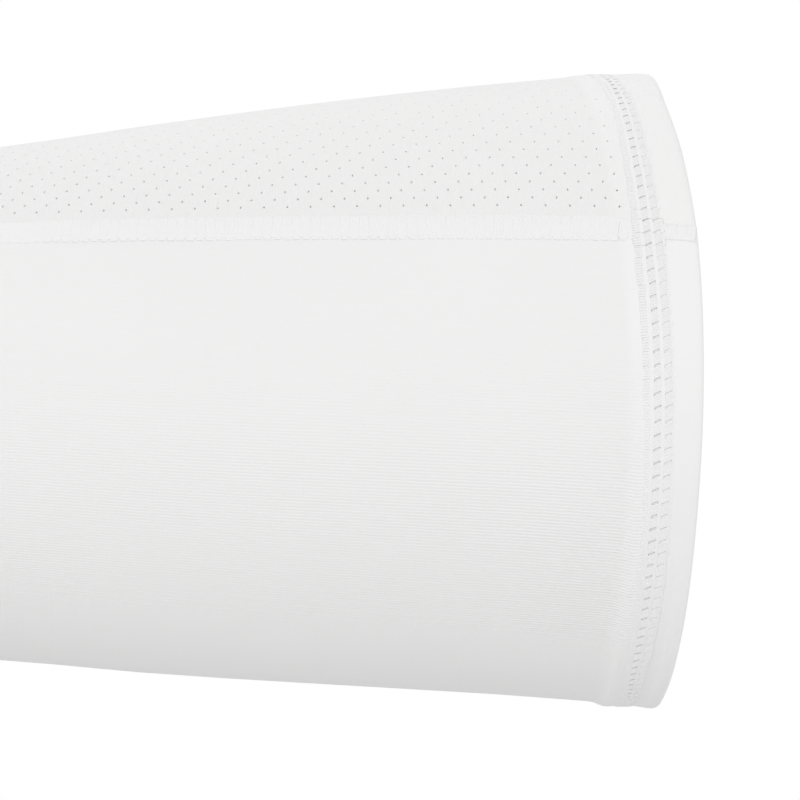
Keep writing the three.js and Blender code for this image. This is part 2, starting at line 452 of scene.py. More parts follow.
def run_tree(carrier, tree, values, name):
    """Runs a tree on an object and returns the result as a plain mesh object. The carrier is removed."""
    modifier = carrier.modifiers.new("nodes", "NODES")
    modifier.node_group = tree
    for item in tree.interface.items_tree:
        if item.in_out == "INPUT" and item.name in values:
            modifier[item.identifier] = values[item.name]
    depsgraph = bpy.context.evaluated_depsgraph_get()
    mesh = bpy.data.meshes.new_from_object(carrier.evaluated_get(depsgraph))
    carrier.modifiers.remove(modifier)
    bpy.data.objects.remove(carrier)
    mesh.name = name
    mesh.materials.clear()
    mesh.materials.append(values["Material"])
    mesh.polygons.foreach_set("material_index", [0] * len(mesh.polygons))
    made = bpy.data.objects.new(name, mesh)
    bpy.context.scene.collection.objects.link(made)
    print(name, triangles_of(made), "triangles")
    return made


# %% [markdown]
# ## Cloth and thread materials
# All three finishes are white stretch yarn that differs in its surface. The grain is drawn in the cloth's
# own flat coordinates, so it follows the panels. One shader group makes the tiny loops of a knit, with
# painted shade in the valleys between them, and is shared.


# %%
def shader_group(name, inputs, outputs):
    """An empty shader group with named float inputs and outputs."""
    group = bpy.data.node_groups.new(name, "ShaderNodeTree")
    for label, kind in inputs:
        group.interface.new_socket(label, in_out="INPUT", socket_type="NodeSocket" + kind)
    for label, kind in outputs:
        group.interface.new_socket(label, in_out="OUTPUT", socket_type="NodeSocket" + kind)
    return group, group.nodes.new("NodeGroupInput").outputs, group.nodes.new("NodeGroupOutput")


def knit_loops_group():
    """Height of a knit's loops: columns of small Vs, from the flat cloth's coordinates, with the painted
    shade of their valleys.
    """
    group, given, outputs = shader_group(
        "knit loops",
        [("Cloth", "Vector"), ("Wale", "Float"), ("Course", "Float")],
        [("Height", "Float"), ("Shade", "Float")],
    )
    flat = add_node(group, "ShaderNodeSeparateXYZ", n0=given["Cloth"])
    column = maths(group, "DIVIDE", flat.outputs["X"], given["Wale"])
    row = maths(group, "DIVIDE", flat.outputs["Y"], given["Course"])
    from_middle = maths(group, "PINGPONG", column, 0.5)
    leaning = maths(group, "ADD", row, maths(group, "MULTIPLY", from_middle, 1.3))
    legs = maths(group, "SINE", maths(group, "MULTIPLY", leaning, 2 * math.pi))
    ridge = maths(group, "SINE", maths(group, "MULTIPLY", from_middle, 2 * math.pi))
    height = maths(group, "MULTIPLY_ADD", legs, 0.35)
    height.node.inputs[2].default_value = 0.5
    both = maths(group, "ADD", height, maths(group, "MULTIPLY", ridge, 0.4))
    group.links.new(both, outputs.inputs["Height"])
    group.links.new(maths(group, "MULTIPLY", both, 0.5), outputs.inputs["Shade"])
    return group


KNIT_LOOPS = knit_loops_group()
# Where the cloth lies double in a hem it is whiter by this gain, which fades out over these millimetres
DOUBLED_GAIN, DOUBLED_FADE = 1.028, 1.4


def cloth_material(name, colour, roughness, wale, course, bump, sheen, shade_depth, both_ends):
    """White knit: painted shade darkens the valleys between its loops a little, and doubled cloth in a hem is
    whiter.

    wale, course and bump are millimetres. both_ends says that the cloth is doubled at the wrist too.
    """
    made = bpy.data.materials.new(name)
    made.use_nodes = True
    tree = made.node_tree
    shader = tree.nodes["Principled BSDF"]
    cloth = add_node(tree, "ShaderNodeUVMap", {"uv_map": "cloth"})
    loops = add_node(tree, "ShaderNodeGroup", {"node_tree": KNIT_LOOPS})
    tree.links.new(cloth.outputs[0], loops.inputs["Cloth"])
    loops.inputs["Wale"].default_value = wale * MM
    loops.inputs["Course"].default_value = course * MM
    place = add_node(tree, "ShaderNodeTexCoord")
    cloud = add_node(tree, "ShaderNodeTexNoise", Vector=place.outputs["Object"], Scale=38.0, Detail=3.0)
    shade = loops.outputs["Shade"]
    # painted shade: the colour is darker in the valleys between the loops
    painted_groove_shade = add_node(tree, "ShaderNodeMapRange", Value=shade, To_Min=1 - shade_depth, To_Max=1.0)
    cloud_tint = add_node(tree, "ShaderNodeMapRange", Value=cloud, To_Min=0.985, To_Max=1.01)
    along = add_node(tree, "ShaderNodeSeparateXYZ", n0=cloth).outputs["Y"]
    from_rim = maths(tree, "PINGPONG", along, SLEEVE_LENGTH / 2 * MM) if both_ends else along
    doubled = add_node(tree, "ShaderNodeMapRange", Value=from_rim, To_Min=DOUBLED_GAIN, To_Max=1.0)
    doubled.inputs["From Min"].default_value = (ALLOWANCE - DOUBLED_FADE) * MM
    doubled.inputs["From Max"].default_value = ALLOWANCE * MM
    level = maths(tree, "MULTIPLY", maths(tree, "MULTIPLY", painted_groove_shade, cloud_tint), doubled)
    paint = add_node(tree, "ShaderNodeVectorMath", {"operation": "SCALE"}, n0=colour, Scale=level)
    tree.links.new(paint.outputs[0], shader.inputs["Base Color"])
    smoother, rougher = roughness - 0.04, roughness + 0.04
    rough = add_node(tree, "ShaderNodeMapRange", Value=cloud, To_Min=smoother, To_Max=rougher)
    tree.links.new(rough.outputs[0], shader.inputs["Roughness"])
    loop_height = loops.outputs["Height"]
    raised = add_node(tree, "ShaderNodeBump", Strength=1.0, Distance=bump * MM, Height=loop_height)
    tree.links.new(raised.outputs[0], shader.inputs["Normal"])
    shader.inputs["Sheen Weight"].default_value = sheen
    shader.inputs["Sheen Roughness"].default_value = 0.6
    shader.inputs["Specular IOR Level"].default_value = 0.25
    return made


RIBBED_WHITE, MESH_WHITE = (0.870, 0.870, 0.868), (0.875, 0.875, 0.872)
ribbed_knit = cloth_material("ribbed knit", RIBBED_WHITE, 0.85, 0.15, 0.4, 0.008, 0.08, 0.03, True)
perforated_knit = cloth_material("perforated knit", MESH_WHITE, 0.82, 0.3, 0.35, 0.025, 0.08, 0.03, False)


def thread_material():
    """Polyester thread, as white as the cloth, with its twisted plies as a fine slanting relief and painted
    shade in the grooves between them.
    """
    made = bpy.data.materials.new("sewing thread")
    made.use_nodes = True
    tree = made.node_tree
    shader = tree.nodes["Principled BSDF"]
    place = add_node(tree, "ShaderNodeTexCoord")
    where = place.outputs["Object"]
    plies = add_node(tree, "ShaderNodeTexWave", {"bands_direction": "DIAGONAL"}, Vector=where, Scale=900.0)
    # painted shade: the thread is darker in the grooves between its plies
    painted_groove_shade = add_node(tree, "ShaderNodeMapRange", Value=plies.outputs[1], To_Min=0.852, To_Max=0.868)
    colour = add_node(tree, "ShaderNodeCombineColor", n0=painted_groove_shade, n1=painted_groove_shade, n2=painted_groove_shade)
    tree.links.new(colour.outputs[0], shader.inputs["Base Color"])
    raised = add_node(tree, "ShaderNodeBump", Strength=0.5, Distance=0.03 * MM, Height=plies.outputs[1])
    tree.links.new(raised.outputs[0], shader.inputs["Normal"])
    shader.inputs["Roughness"].default_value = 0.62
    shader.inputs["Sheen Weight"].default_value = 0.1
    shader.inputs["Specular IOR Level"].default_value = 0.3
    return made


sewing_thread = thread_material()
print("materials:", [material.name for material in (ribbed_knit, perforated_knit, sewing_thread)])


# %% [markdown]
# ## The ribbed panel
# The real panel is a fine rib knit, and its ribs run the length of the sleeve and meet the stitched band.
# It is swept as a smooth wall with four columns for each rib, and a node tree then lifts the ribs out of
# it, so the ribs are real relief. As in the photo, they stand up most in the lower half beside the hem.
# The wall runs on under the threads to the middle needle row, where the hem takes over.

# %%
RIB_COUNT = 384
RIB_PITCH = 0.6
RIB_HEIGHT = 0.055
# Where the ribs change, as shares of the panel's width away from the sleeve's bottom line: they fade out
# upwards, they are faint at the bottom itself, and they peak between the two
RIBS_FADE, RIBS_START, RIBS_PEAK = (0.44, 0.28), (0.155, 0.19), (0.19, 0.25)
RIB_AT_BOTTOM, RIB_AT_PEAK, RIB_EVERYWHERE = 0.2, 1.3, 0.12
# Down the arm they drop to this share, which they have from the first of these stations on
RIB_LEAST = 0.3
RIBS_ALONG = (34, 13)
RIB_UNEVENNESS, RIB_SEED = 0.35, 7.0
COLUMNS_PER_RIB = 4
HEM_ROWS = 12
ROWS_BETWEEN = 23
PANEL_EDGE_ANGLE = math.radians(72)


def panel_stations():
    """Stations of a panel's rows: close in the two hems, and wider apart between them."""
    hem_rows = np.linspace(STITCH_MIDDLE, HEM, HEM_ROWS)
    between = np.linspace(HEM, SLEEVE_LENGTH - HEM, ROWS_BETWEEN + 2)[1:-1]
    return np.concatenate([hem_rows, between, (SLEEVE_LENGTH - hem_rows)[::-1]])


def panel_wall(name, columns, every, wall, is_knit):
    """A closed panel whose inner face has one column for every few of the outer face's.

    Returns the object with each vertex's share across the panel, its station and whether it faces out.
    """
    stations = panel_stations()
    rows = len(stations)
    start, end = cloth_angles(stations, is_knit)
    share_out = np.linspace(0, 1, columns + 1)
    share_in = share_out[::every]
    faces = {}
    for side, shares, lift in (("out", share_out, relief(stations)), ("in", share_in, np.full(rows, -wall))):
        angle = lerp(start[None, :], end[None, :], shares[:, None])
        faces[side] = cloth_point(stations[None, :], angle, lift[None, :]).reshape(-1, 3)
    first_in = len(faces["out"])

    def quads(count, first, flip):
        corner = first + np.arange(count)[:, None] * rows + np.arange(rows - 1)[None, :]
        order = [corner, corner + 1, corner + rows + 1, corner + rows]
        return np.stack(order[::-1] if flip else order, axis=-1).reshape(-1, 4).tolist()

    polygons = quads(columns, 0, False) + quads(columns // every, first_in, True)
    for k in range(columns // every):
        outer = [(k * every + i) * rows for i in range(every + 1)]
        inner = [first_in + (k + 1) * rows, first_in + k * rows]
        polygons.append(outer + inner)
        polygons.append([index + rows - 1 for index in (outer + inner)[::-1]])
    last_out, last_in = columns * rows, first_in + columns // every * rows
    for i in range(rows - 1):
        polygons.append([i + 1, i, first_in + i, first_in + i + 1])
        polygons.append([last_out + i, last_out + i + 1, last_in + i + 1, last_in + i])
    piece = mesh_object(name, np.vstack([faces["out"], faces["in"]]), polygons)
    store(piece, "outer_face", np.arange(len(polygons)) < columns * (rows - 1), "BOOLEAN", "FACE")
    share = np.concatenate([np.repeat(share_out, rows), np.repeat(share_in, rows)])
    is_outer = np.arange(len(share)) < first_in
    return piece, share, np.tile(stations, len(share_out) + len(share_in)), is_outer


def rib_tree():
    """Ribs: the outer surface is lifted along its normal by a wave across the panel."""
    tree, given, output = node_tree(
        "knit ribs",
        [
            ("Rib Count", "Float"),
            ("Rib Height", "Float"),
            ("Unevenness", "Float"),
            ("Seed", "Float"),
            ("Material", "Material"),
        ],
    )
    across = attribute(tree, "across")
    turns = maths(tree, "MULTIPLY", across, given["Rib Count"])
    wave = maths(tree, "COSINE", maths(tree, "MULTIPLY", turns, 2 * math.pi))
    rib = maths(tree, "FLOOR", maths(tree, "ADD", turns, 0.5))
    strength = random_value(tree, -1.0, 1.0, given["Seed"], ID=rib)
    uneven = maths(tree, "MULTIPLY_ADD", strength, given["Unevenness"])
    uneven.node.inputs[2].default_value = 1.0
    height = maths(tree, "MULTIPLY", wave, maths(tree, "MULTIPLY", given["Rib Height"], uneven))
    masked = maths(tree, "MULTIPLY", height, attribute(tree, "rib_mask"))
    normal = add_node(tree, "GeometryNodeInputNormal")
    offset = add_node(tree, "ShaderNodeVectorMath", {"operation": "SCALE"}, n0=normal, Scale=masked)
    moved = add_node(tree, "GeometryNodeSetPosition", Geometry=given["Geometry"], Offset=offset)
    return finish_tree(tree, given, output, moved)


knit_width = arc_width(HEM, True)
knit_columns = RIB_COUNT * COLUMNS_PER_RIB
knit_base, across, along, is_outer = panel_wall("knit base", knit_columns, COLUMNS_PER_RIB, WALL, True)
cloth_coordinates(knit_base, across * RIB_COUNT * RIB_PITCH, along)
from_rim = np.minimum(along, SLEEVE_LENGTH - along)
store(knit_base, "across", across)
from_bottom = np.abs(across - 0.5)
below_middle = smoothstep(from_bottom, *RIBS_FADE)
below_middle = below_middle * lerp(RIB_AT_BOTTOM, 1, smoothstep(from_bottom, *RIBS_START))
below_middle *= lerp(RIB_AT_PEAK, 1, smoothstep(from_bottom, *RIBS_PEAK))
shown = below_middle * lerp(RIB_LEAST, 1, smoothstep(along, *RIBS_ALONG)) + RIB_EVERYWHERE
clear_of_stitches = smoothstep(from_rim, STITCH_MIDDLE + 0.6, STITCH_END + 0.2)
store(knit_base, "rib_mask", is_outer * shown * clear_of_stitches)
ribbed_panel = run_tree(
    knit_base,
    rib_tree(),
    {
        "Rib Count": float(RIB_COUNT),
        "Rib Height": RIB_HEIGHT * MM,
        "Unevenness": RIB_UNEVENNESS,
        "Seed": RIB_SEED,
        "Material": ribbed_knit,
    },
    "ribbed_panel",
)
ribbed_panel.data.set_sharp_from_angle(angle=PANEL_EDGE_ANGLE)
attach(ribbed_panel, "root")
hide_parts("main_panel")

# %% [markdown]
# ## The perforated panel
# The mesh knit has small open holes in staggered rows that run along the arm and are simply cut off by
# the seams. The lattice is laid out flat, in the cloth's own coordinates, and a node tree finds where
# each hole lands on the panel, sets a flared cutter there and takes all of them out of the wall, so the
# holes go right through.

# %%
# The lattice in the flat cloth: its two distances in millimetres, and how many rows of holes it has each way
HOLE_PITCH_ROUND = 4.1
HOLE_PITCH_ALONG = 4.36
ROWS_ROUND, ROWS_ALONG = 33, 110
# The same distance along the worn sleeve, at the rim and down the arm, and the stations it changes between
HOLE_PITCH_RIM, HOLE_PITCH_ARM = HOLE_PITCH_ALONG - 0.17, 3.62
PITCH_CHANGE = (-20, 150)
# Clear cloth between a hole and a seam, and how much less of it a stitch band needs
HOLE_MARGIN = 1.5
LESS_AT_HEM = 0.9
# Away from the seams the holes shrink to this share of their size, between these two distances
HOLE_SHARE, HOLE_CHANGE = 0.72, (6, 34)
HOLE_LENGTH, HOLE_WIDTH = 0.3, 0.46
# Where the lattice lies on the panel and how much its rows lean down the arm, set after the photo
LATTICE_LEAN, LEAN_GROWS = 0.13, (0, 130)
LATTICE_SHIFT_ROUND, LATTICE_SHIFT_ALONG = 1.0, -0.9
# How much the cloth is stretched round the arm at each distance from the front seam
ROUND_STRETCH = table(
    "along stretch",
    [
        (0, 0.76),
        (4, 0.82),
        (8, 0.91),
        (12, 0.98),
        (16, 1.02),
        (20, 1.10),
        (26, 1.17),
        (32, 1.28),
        (60, 1.30),
        (200, 1.30),
    ],
)
MESH_WALL = 0.75
MESH_COLUMNS = 64
HOLE_EDGE_ANGLE = math.radians(28)


def cloth_length(station):
    """Length of unstretched mesh cloth up to a station: the cloth is stretched more at the wide end."""
    fine = np.linspace(0, SLEEVE_LENGTH, 801)
    pitch = lerp(HOLE_PITCH_RIM, HOLE_PITCH_ARM, smoothstep(fine, *PITCH_CHANGE))
    length = np.concatenate([[0], np.cumsum((HOLE_PITCH_ALONG / pitch)[:-1] * np.diff(fine))])
    return np.interp(station, fine, length)


def cloth_round(from_seam):
    """Width of unstretched mesh cloth from the front seam to a place at a distance from it."""
    fine = np.linspace(0, ROUND_STRETCH["along"][-1], 801)
    width = np.concatenate([[0], np.cumsum(fine[1] / read_column(ROUND_STRETCH, "stretch", fine[1:]))])
    return np.interp(from_seam, fine, width)


def cutter_object():
    """Closed punch for one hole: wide at the cloth's surface, narrow through the wall."""
    sides = 8
    rings = [(0.3, 1.6), (-0.2, 1.0), (-0.98, 0.95)]
    turn = np.arange(sides) * 2 * math.pi / sides
    points = [
        (HOLE_LENGTH / 2 * scale * math.cos(t), HOLE_WIDTH / 2 * scale * math.sin(t), z)
        for z, scale in rings
        for t in turn
    ]
    faces = [
        [k * sides + i, (k + 1) * sides + i, (k + 1) * sides + (i + 1) % sides, k * sides + (i + 1) % sides]
        for k in range(len(rings) - 1)
        for i in range(sides)
    ]
    faces.append(list(range(sides)))
    faces.append([2 * sides + i for i in reversed(range(sides))])
    return mesh_object("hole cutter", points, faces, smooth=False)


def perforation_tree():
    """Holes: a flat staggered lattice is mapped to the panel, and a cutter is taken out at each point."""
    tree, given, output = node_tree(
        "perforated cloth",
        [
            ("Cutter", "Object"),
            ("Pitch Round", "Float"),
            ("Pitch Along", "Float"),
            ("Rows Round", "Int"),
            ("Rows Along", "Int"),
            ("Material", "Material"),
        ],
    )
    gaps_round = maths(tree, "SUBTRACT", given["Rows Round"], 1.0)
    gaps_along = maths(tree, "SUBTRACT", given["Rows Along"], 1.0)
    size_round = maths(tree, "MULTIPLY", given["Pitch Round"], gaps_round)
    size_along = maths(tree, "MULTIPLY", given["Pitch Along"], gaps_along)
    lattice = add_node(
        tree,
        "GeometryNodeMeshGrid",
        n0=size_round,
        n1=size_along,
        n2=given["Rows Round"],
        n3=given["Rows Along"],
    )
    first_move = add_node(tree, "ShaderNodeCombineXYZ", n0=0.0, n1=maths(tree, "DIVIDE", size_along, 2.0))
    first = add_node(tree, "GeometryNodeTransform", Geometry=lattice, Translation=first_move)
    half_step = add_node(
        tree,
        "ShaderNodeCombineXYZ",
        n0=maths(tree, "DIVIDE", given["Pitch Round"], 2.0),
        n1=maths(tree, "DIVIDE", given["Pitch Along"], 2.0),
    )
    second = add_node(tree, "GeometryNodeTransform", Geometry=first, Translation=half_step)
    both = tree.nodes.new("GeometryNodeJoinGeometry")
    tree.links.new(first.outputs[0], both.inputs[0])
    tree.links.new(second.outputs[0], both.inputs[0])
    stored = add_node(tree, "GeometryNodeMeshToPoints", Mesh=both)

    flat_place = add_node(tree, "GeometryNodeInputPosition")
    cloth = attribute(tree, "cloth", "FLOAT_VECTOR")
    outer_face = add_node(
        tree,
        "GeometryNodeSeparateGeometry",
        {"domain": "FACE"},
        Geometry=given["Geometry"],
        Selection=attribute(tree, "outer_face", "BOOLEAN"),
    )

    def sampled(kind, value):
        inputs = {"n0": outer_face, "n1": value, "n2": cloth, "n3": flat_place}
        return add_node(tree, "GeometryNodeSampleUVSurface", {"data_type": kind}, **inputs)

    def kept(geometry, kind, name, value):
        settings = {"data_type": kind}
        inputs = {"Geometry": geometry, "Name": name, "Value": value}
        return add_node(tree, "GeometryNodeStoreNamedAttribute", settings, **inputs)

    room = sampled("FLOAT", attribute(tree, "hole_room"))
    off_the_panel = add_node(tree, "FunctionNodeBooleanMath", {"operation": "NOT"}, n0=room.outputs[1])
    for kind, name, value in (
        ("FLOAT_VECTOR", "place", sampled("FLOAT_VECTOR", flat_place)),
        ("FLOAT_VECTOR", "facing", sampled("FLOAT_VECTOR", add_node(tree, "GeometryNodeInputNormal"))),
        ("FLOAT", "room", room),
        ("FLOAT", "size", sampled("FLOAT", attribute(tree, "hole_size"))),
        ("BOOLEAN", "missed", off_the_panel),
    ):
        stored = kept(stored, kind, name, value)
    outside = maths(tree, "LESS_THAN", attribute(tree, "room"), 0.0)
    missed = attribute(tree, "missed", "BOOLEAN")
    drop = add_node(tree, "FunctionNodeBooleanMath", {"operation": "OR"}, n0=outside, n1=missed)
    points = {"domain": "POINT"}
    cleared = add_node(tree, "GeometryNodeDeleteGeometry", points, Geometry=stored, Selection=drop)
    place = attribute(tree, "place", "FLOAT_VECTOR")
    landed = add_node(tree, "GeometryNodeSetPosition", Geometry=cleared, Position=place)
    turned = add_node(
        tree,
        "FunctionNodeAxesToRotation",
        {"primary_axis": "Z", "secondary_axis": "X"},
        n0=attribute(tree, "facing", "FLOAT_VECTOR"),
        n1=(1.0, 0.0, 0.0),
    )
    punch = add_node(tree, "GeometryNodeObjectInfo", Object=given["Cutter"])
    opening = attribute(tree, "size")
    punch_size = add_node(tree, "ShaderNodeCombineXYZ", n0=opening, n1=opening, n2=1.0)
    punches = add_node(
        tree,
        "GeometryNodeInstanceOnPoints",
        Points=landed,
        Instance=punch.outputs["Geometry"],
        Rotation=turned,
        Scale=punch_size,
    )
    real = add_node(tree, "GeometryNodeRealizeInstances", Geometry=punches)
    cut = tree.nodes.new("GeometryNodeMeshBoolean")
    cut.operation, cut.solver = "DIFFERENCE", "MANIFOLD"
    tree.links.new(given["Geometry"], cut.inputs[0])
    tree.links.new(real.outputs[0], cut.inputs[1])
    return finish_tree(tree, given, output, cut)


mesh_width = arc_width(HEM, False)
mesh_base, across, along, _ = panel_wall("mesh base", MESH_COLUMNS, 1, MESH_WALL, False)
half_height, half_depth, _, _ = section_at(along)
edge_angle = cloth_angles(along, False)[1]
panel_round = edge_angle * (half_height + half_depth)
from_seam = (1 - across) * panel_round
lean = LATTICE_LEAN * smoothstep(along, *LEAN_GROWS) * from_seam
cloth_coordinates(
    mesh_base,
    LATTICE_SHIFT_ROUND + mesh_width / 2 - cloth_round(from_seam),
    LATTICE_SHIFT_ALONG + cloth_length(along) - lean,
)
room_at_seam = (1 - np.abs(2 * across - 1)) * edge_angle * half_height
room_at_hem = np.minimum(along, SLEEVE_LENGTH - along) - STITCH_END + LESS_AT_HEM
store(mesh_base, "hole_room", np.minimum(room_at_seam, room_at_hem) - HOLE_MARGIN)
from_a_seam = np.minimum(across, 1 - across) * panel_round
store(mesh_base, "hole_size", lerp(1, HOLE_SHARE, smoothstep(from_a_seam, *HOLE_CHANGE)))
cutter = cutter_object()
perforated_panel = run_tree(
    mesh_base,
    perforation_tree(),
    {
        "Cutter": cutter,
        "Pitch Round": HOLE_PITCH_ROUND * MM,
        "Pitch Along": HOLE_PITCH_ALONG * MM,
        "Rows Round": ROWS_ROUND,
        "Rows Along": ROWS_ALONG,
        "Material": perforated_knit,
    },
    "perforated_panel",
)
bpy.data.objects.remove(cutter)
perforated_panel.data.set_sharp_from_angle(angle=HOLE_EDGE_ANGLE)
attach(perforated_panel, "root")
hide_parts("mesh_panel")

# %% [markdown]
# ## The folded hems
# At both ends the cloth is turned in once and sewn down. Each hem is one wall that starts under the
# middle needle row, runs out to the rounded rim, and comes back inside as the second layer with its raw
# edge beyond the stitches. It is split at the seams, as the two cloths are.

# %%
RIM_STEPS = 10
# The second layer from the middle needle row to its raw edge and back towards the rim
RAW_EDGE = table(
    "away lift",
    [
        (STITCH_MIDDLE, -1.03),
        (ALLOWANCE - 0.1, -1.03),
        (ALLOWANCE, -1.25),
        (ALLOWANCE, -1.75),
        (ALLOWANCE - 0.15, -1.95),
        (STITCH_END, -2.0),
        (STITCH_MIDDLE + 0.9, -1.9),
        (STITCH_START, -1.95),
        (3.0, -2.15),
    ],
)


def hem_outline():
    """A hem's closed outline as (distance from the rim, lift), from the rim's tip out and back in."""
    rim_away, rim_lift = rim_arc(RIM_STEPS)
    half = RIM_STEPS // 2
    outer = np.linspace(FOLD_NOSE, STITCH_MIDDLE, 22)[1:]
    away = np.concatenate([rim_away[half:], outer, RAW_EDGE["away"], rim_away[:half]])
    lift = np.concatenate([rim_lift[half:], relief(outer), RAW_EDGE["lift"], rim_lift[:half]])
    return away, lift


def at_wrist_end(away, lift):
    """The same outline at the wrist, still from the rim's tip and still turning the same way."""
    order = np.concatenate([[0], np.arange(len(away) - 1, 0, -1)])
    return SLEEVE_LENGTH - away[order], lift[order]


def hem_piece(name, at_wrist, is_knit, columns, material, width):
    """One cloth's part of a hem."""
    stations, lift = at_wrist_end(*hem_outline()) if at_wrist else hem_outline()
    start, end = cloth_angles(stations, is_knit)
    share = np.linspace(0, 1, columns + 1)
    angle = lerp(start[None, :], end[None, :], share[:, None])
    points = cloth_point(stations[None, :], angle, lift[None, :])
    piece = swept_wall(name, stations, points)
    cloth_coordinates(piece, np.repeat(share * width, len(stations)), np.tile(stations, columns + 1))
    piece.data.materials.append(material)
    print(name, triangles_of(piece), "triangles")
    return piece


for end_name, at_wrist, scale in (("upper", False, 1.0), ("wrist", True, 0.55)):
    for cloth_name, is_knit, columns, material, slot, width in (
        ("knit", True, 380, ribbed_knit, "ribbed_knit", knit_width),
        ("mesh", False, 190, perforated_knit, "perforated_mesh", mesh_width),
    ):
        node = f"{end_name}_hem_{cloth_name}"
        name = f"{end_name}_fold_{cloth_name}"
        piece = hem_piece(name, at_wrist, is_knit, int(columns * scale), material, width)
        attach(piece, "root")
        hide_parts(node)

# %% [markdown]
# ## Thread units and stitch runs
# A machine stitch repeats one small figure of thread. Each figure is modelled once from short tubes, and
# a node tree sets it again and again along a guide line on the cloth, turned to the surface and a little
# uneven.


# %%
# How far a thread's tip stands beyond its last ring, as a share of its radius
TIP_SHARE = 0.7


def thread_tube(points, radius, sides=6, flatness=1.0):
    """A closed tube through a few points: rings of vertices, pressed flat by a factor, with two tips."""
    points = np.asarray(points, float)
    tangents = np.gradient(points, axis=0)
    tangents /= np.linalg.norm(tangents, axis=1)[:, None]
    side_axis = np.cross(tangents, [0.0, 0.0, 1.0])
    side_axis /= np.linalg.norm(side_axis, axis=1)[:, None]
    up_axis = np.cross(side_axis, tangents) * flatness
    turn = np.arange(sides) * 2 * math.pi / sides
    sideways = side_axis[:, None] * np.cos(turn)[None, :, None]
    upwards = up_axis[:, None] * np.sin(turn)[None, :, None]
    vertices = (points[:, None] + radius * (sideways + upwards)).reshape(-1, 3)
    reach = radius * TIP_SHARE
    vertices = np.vstack([vertices, points[0] - tangents[0] * reach, points[-1] + tangents[-1] * reach])
    faces = []
    for k in range(len(points) - 1):
        for i in range(sides):
            j = (i + 1) % sides
            faces.append([k * sides + i, (k + 1) * sides + i, (k + 1) * sides + j, k * sides + j])
    first, last = len(vertices) - 2, len(vertices) - 1
    end = (len(points) - 1) * sides
    for i in range(sides):
        j = (i + 1) % sides
        faces.append([first, i, j])
        faces.append([last, end + j, end + i])
    return vertices, faces


def unit_object(name, tubes):
    """One object from several tubes."""
    vertices, faces = [], []
    for tube_vertices, tube_faces in tubes:
        start = sum(len(block) for block in vertices)
        vertices.append(tube_vertices)
        faces.extend([[start + index for index in face] for face in tube_faces])
    return mesh_object(name, np.vstack(vertices), faces)


def arch(start, end, rise, steps=5, base=0.0):
    """Points of a thread from one (x, y) to another, which rises from its base height and dips in again."""
    share = np.linspace(0, 1, steps + 1)
    height = base + rise * np.minimum(1, 4 * share * (1 - share) * 1.6)
    x = lerp(start[0], end[0], share)
    y = lerp(start[1], end[1], share)
    return np.stack([x, y, height], axis=-1)


def stitch_run_tree():
    """Stitches: a unit is set along the guide, X along it and Z out of the cloth."""
    tree, given, output = node_tree(
        "stitch run",
        [
            ("Unit", "Object"),
            ("Count", "Int"),
            ("Uneven Turn", "Float"),
            ("Uneven Size", "Float"),
            ("Seed", "Int"),
            ("Material", "Material"),
        ],
    )
    line = add_node(tree, "GeometryNodeMeshToCurve", Mesh=given["Geometry"])
    even = add_node(tree, "GeometryNodeResampleCurve", {"mode": "COUNT"}, Curve=line, Count=given["Count"])
    turned = add_node(
        tree,
        "FunctionNodeAxesToRotation",
        {"primary_axis": "X", "secondary_axis": "Z"},
        n0=add_node(tree, "GeometryNodeInputTangent"),
        n1=attribute(tree, "outward", "FLOAT_VECTOR"),
    )
    unit = add_node(tree, "GeometryNodeObjectInfo", Object=given["Unit"])
    width_share, loft = attribute(tree, "width_share"), attribute(tree, "loft")
    size = add_node(tree, "ShaderNodeCombineXYZ", n0=1.0, n1=width_share, n2=loft)
    placed = add_node(
        tree,
        "GeometryNodeInstanceOnPoints",
        Points=even,
        Instance=unit.outputs["Geometry"],
        Rotation=turned,
        Scale=size,
    )
    left, seed = maths(tree, "MULTIPLY", given["Uneven Turn"], -1.0), given["Seed"]
    wobble = random_value(tree, left, given["Uneven Turn"], seed)
    spin = add_node(tree, "ShaderNodeCombineXYZ", n0=0.0, n1=0.0, n2=wobble)
    rotated = add_node(tree, "GeometryNodeRotateInstances", Instances=placed, Rotation=spin)
    smaller = maths(tree, "SUBTRACT", 1.0, given["Uneven Size"])
    larger = maths(tree, "ADD", 1.0, given["Uneven Size"])
    swell = random_value(tree, smaller, larger, seed)
    swell_size = add_node(tree, "ShaderNodeCombineXYZ", n0=1.0, n1=swell, n2=swell)
    scaled = add_node(tree, "GeometryNodeScaleInstances", Instances=rotated, Scale=swell_size)
    return finish_tree(tree, given, output, scaled)


STITCH_RUN = stitch_run_tree()


def stitch_run(name, place, width_share, is_ring, unit, count, seed, turn=0.04, size=0.05, loft=1.0):
    """Sets a unit along a guide line through places on the cloth, given as (station, angle, lift).

    width_share and loft are shares of its width and height. turn and size say how uneven it lies.
    """
    station, angle, lift = place
    points = cloth_point(station, angle, lift)
    outward = cloth_point(station, angle, lift + 1.0) - points
    total = len(points)
    edges = [(i, i + 1) for i in range(total - 1)] + ([(total - 1, 0)] if is_ring else [])
    mesh = bpy.data.meshes.new(name)
    mesh.from_pydata((points * MM).tolist(), edges, [])
    guide = bpy.data.objects.new(name + " guide", mesh)
    bpy.context.scene.collection.objects.link(guide)
    store(guide, "outward", outward, "FLOAT_VECTOR")
    store(guide, "width_share", np.broadcast_to(width_share, (total,)))
    store(guide, "loft", np.broadcast_to(loft, (total,)))
    values = {
        "Unit": unit,
        "Count": count,
        "Uneven Turn": turn,
        "Uneven Size": size,
        "Seed": seed,
        "Material": sewing_thread,
    }
    return run_tree(guide, STITCH_RUN, values, name)


